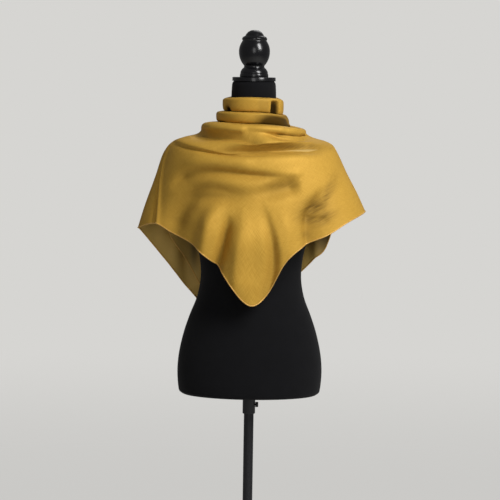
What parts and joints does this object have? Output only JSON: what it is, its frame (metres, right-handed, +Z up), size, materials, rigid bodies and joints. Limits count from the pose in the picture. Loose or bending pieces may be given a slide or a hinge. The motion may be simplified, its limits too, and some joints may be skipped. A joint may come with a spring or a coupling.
{
  "type": "silk scarf on a dress form",
  "caption": "Golden silk satin scarf draped in cowl folds over the shoulders of a black limbless dress form with a turned finial, on an adjustable pole and round base.",
  "frame": {"origin": "middle of the base's underside, on the floor", "axes": "+Z up along the pole; the scarf's front faces -Y; +X is on the viewer's right"},
  "size_m": [0.5094, 0.33, 1.548],
  "materials": {
    "silk_satin": "golden silk satin, glossy on its right side and dull on its wrong side",
    "form_jersey": "black matte jersey cover",
    "black_lacquer": "turned wood in black satin lacquer",
    "black_enamel": "black powder-coated steel",
    "knob_plastic": "black moulded plastic"
  },
  "bodies": {
    "stand": {"stand_base": "black_enamel", "stand_pole": "black_enamel"},
    "collar": {"stand_collar": "black_enamel"},
    "form": {"form_torso": "form_jersey", "form_neck_plate": "black_lacquer", "form_finial": "black_lacquer", "scarf_neck_roll_top": "silk_satin", "scarf_neck_roll_lower": "silk_satin", "scarf_cowl_fold": "silk_satin", "scarf_front_drape": "silk_satin", "scarf_left_side_fold": "silk_satin", "scarf_back_drape": "silk_satin", "scarf_back_inner_end": "silk_satin", "scarf_hem_front": "silk_satin", "scarf_hem_left": "silk_satin", "scarf_hem_back": "silk_satin", "scarf_hem_inner": "silk_satin"},
    "knob": {"clamp_knob": "knob_plastic"}
  },
  "joints": [
    {"name": "height_slide", "type": "slide", "parent": "stand", "child": "collar", "axis": [0, 0, 1], "range_m": [-0.25, 0.13]},
    {"name": "form_swivel", "type": "hinge", "parent": "collar", "child": "form", "pos_m": [0, 0, 0.73], "axis": [0, 0, 1], "continuous": true},
    {"name": "clamp_turn", "type": "hinge", "parent": "collar", "child": "knob", "pos_m": [0.0178, 0, 0.7045], "axis": [1, 0, 0], "range_deg": [0, 360]}
  ]
}
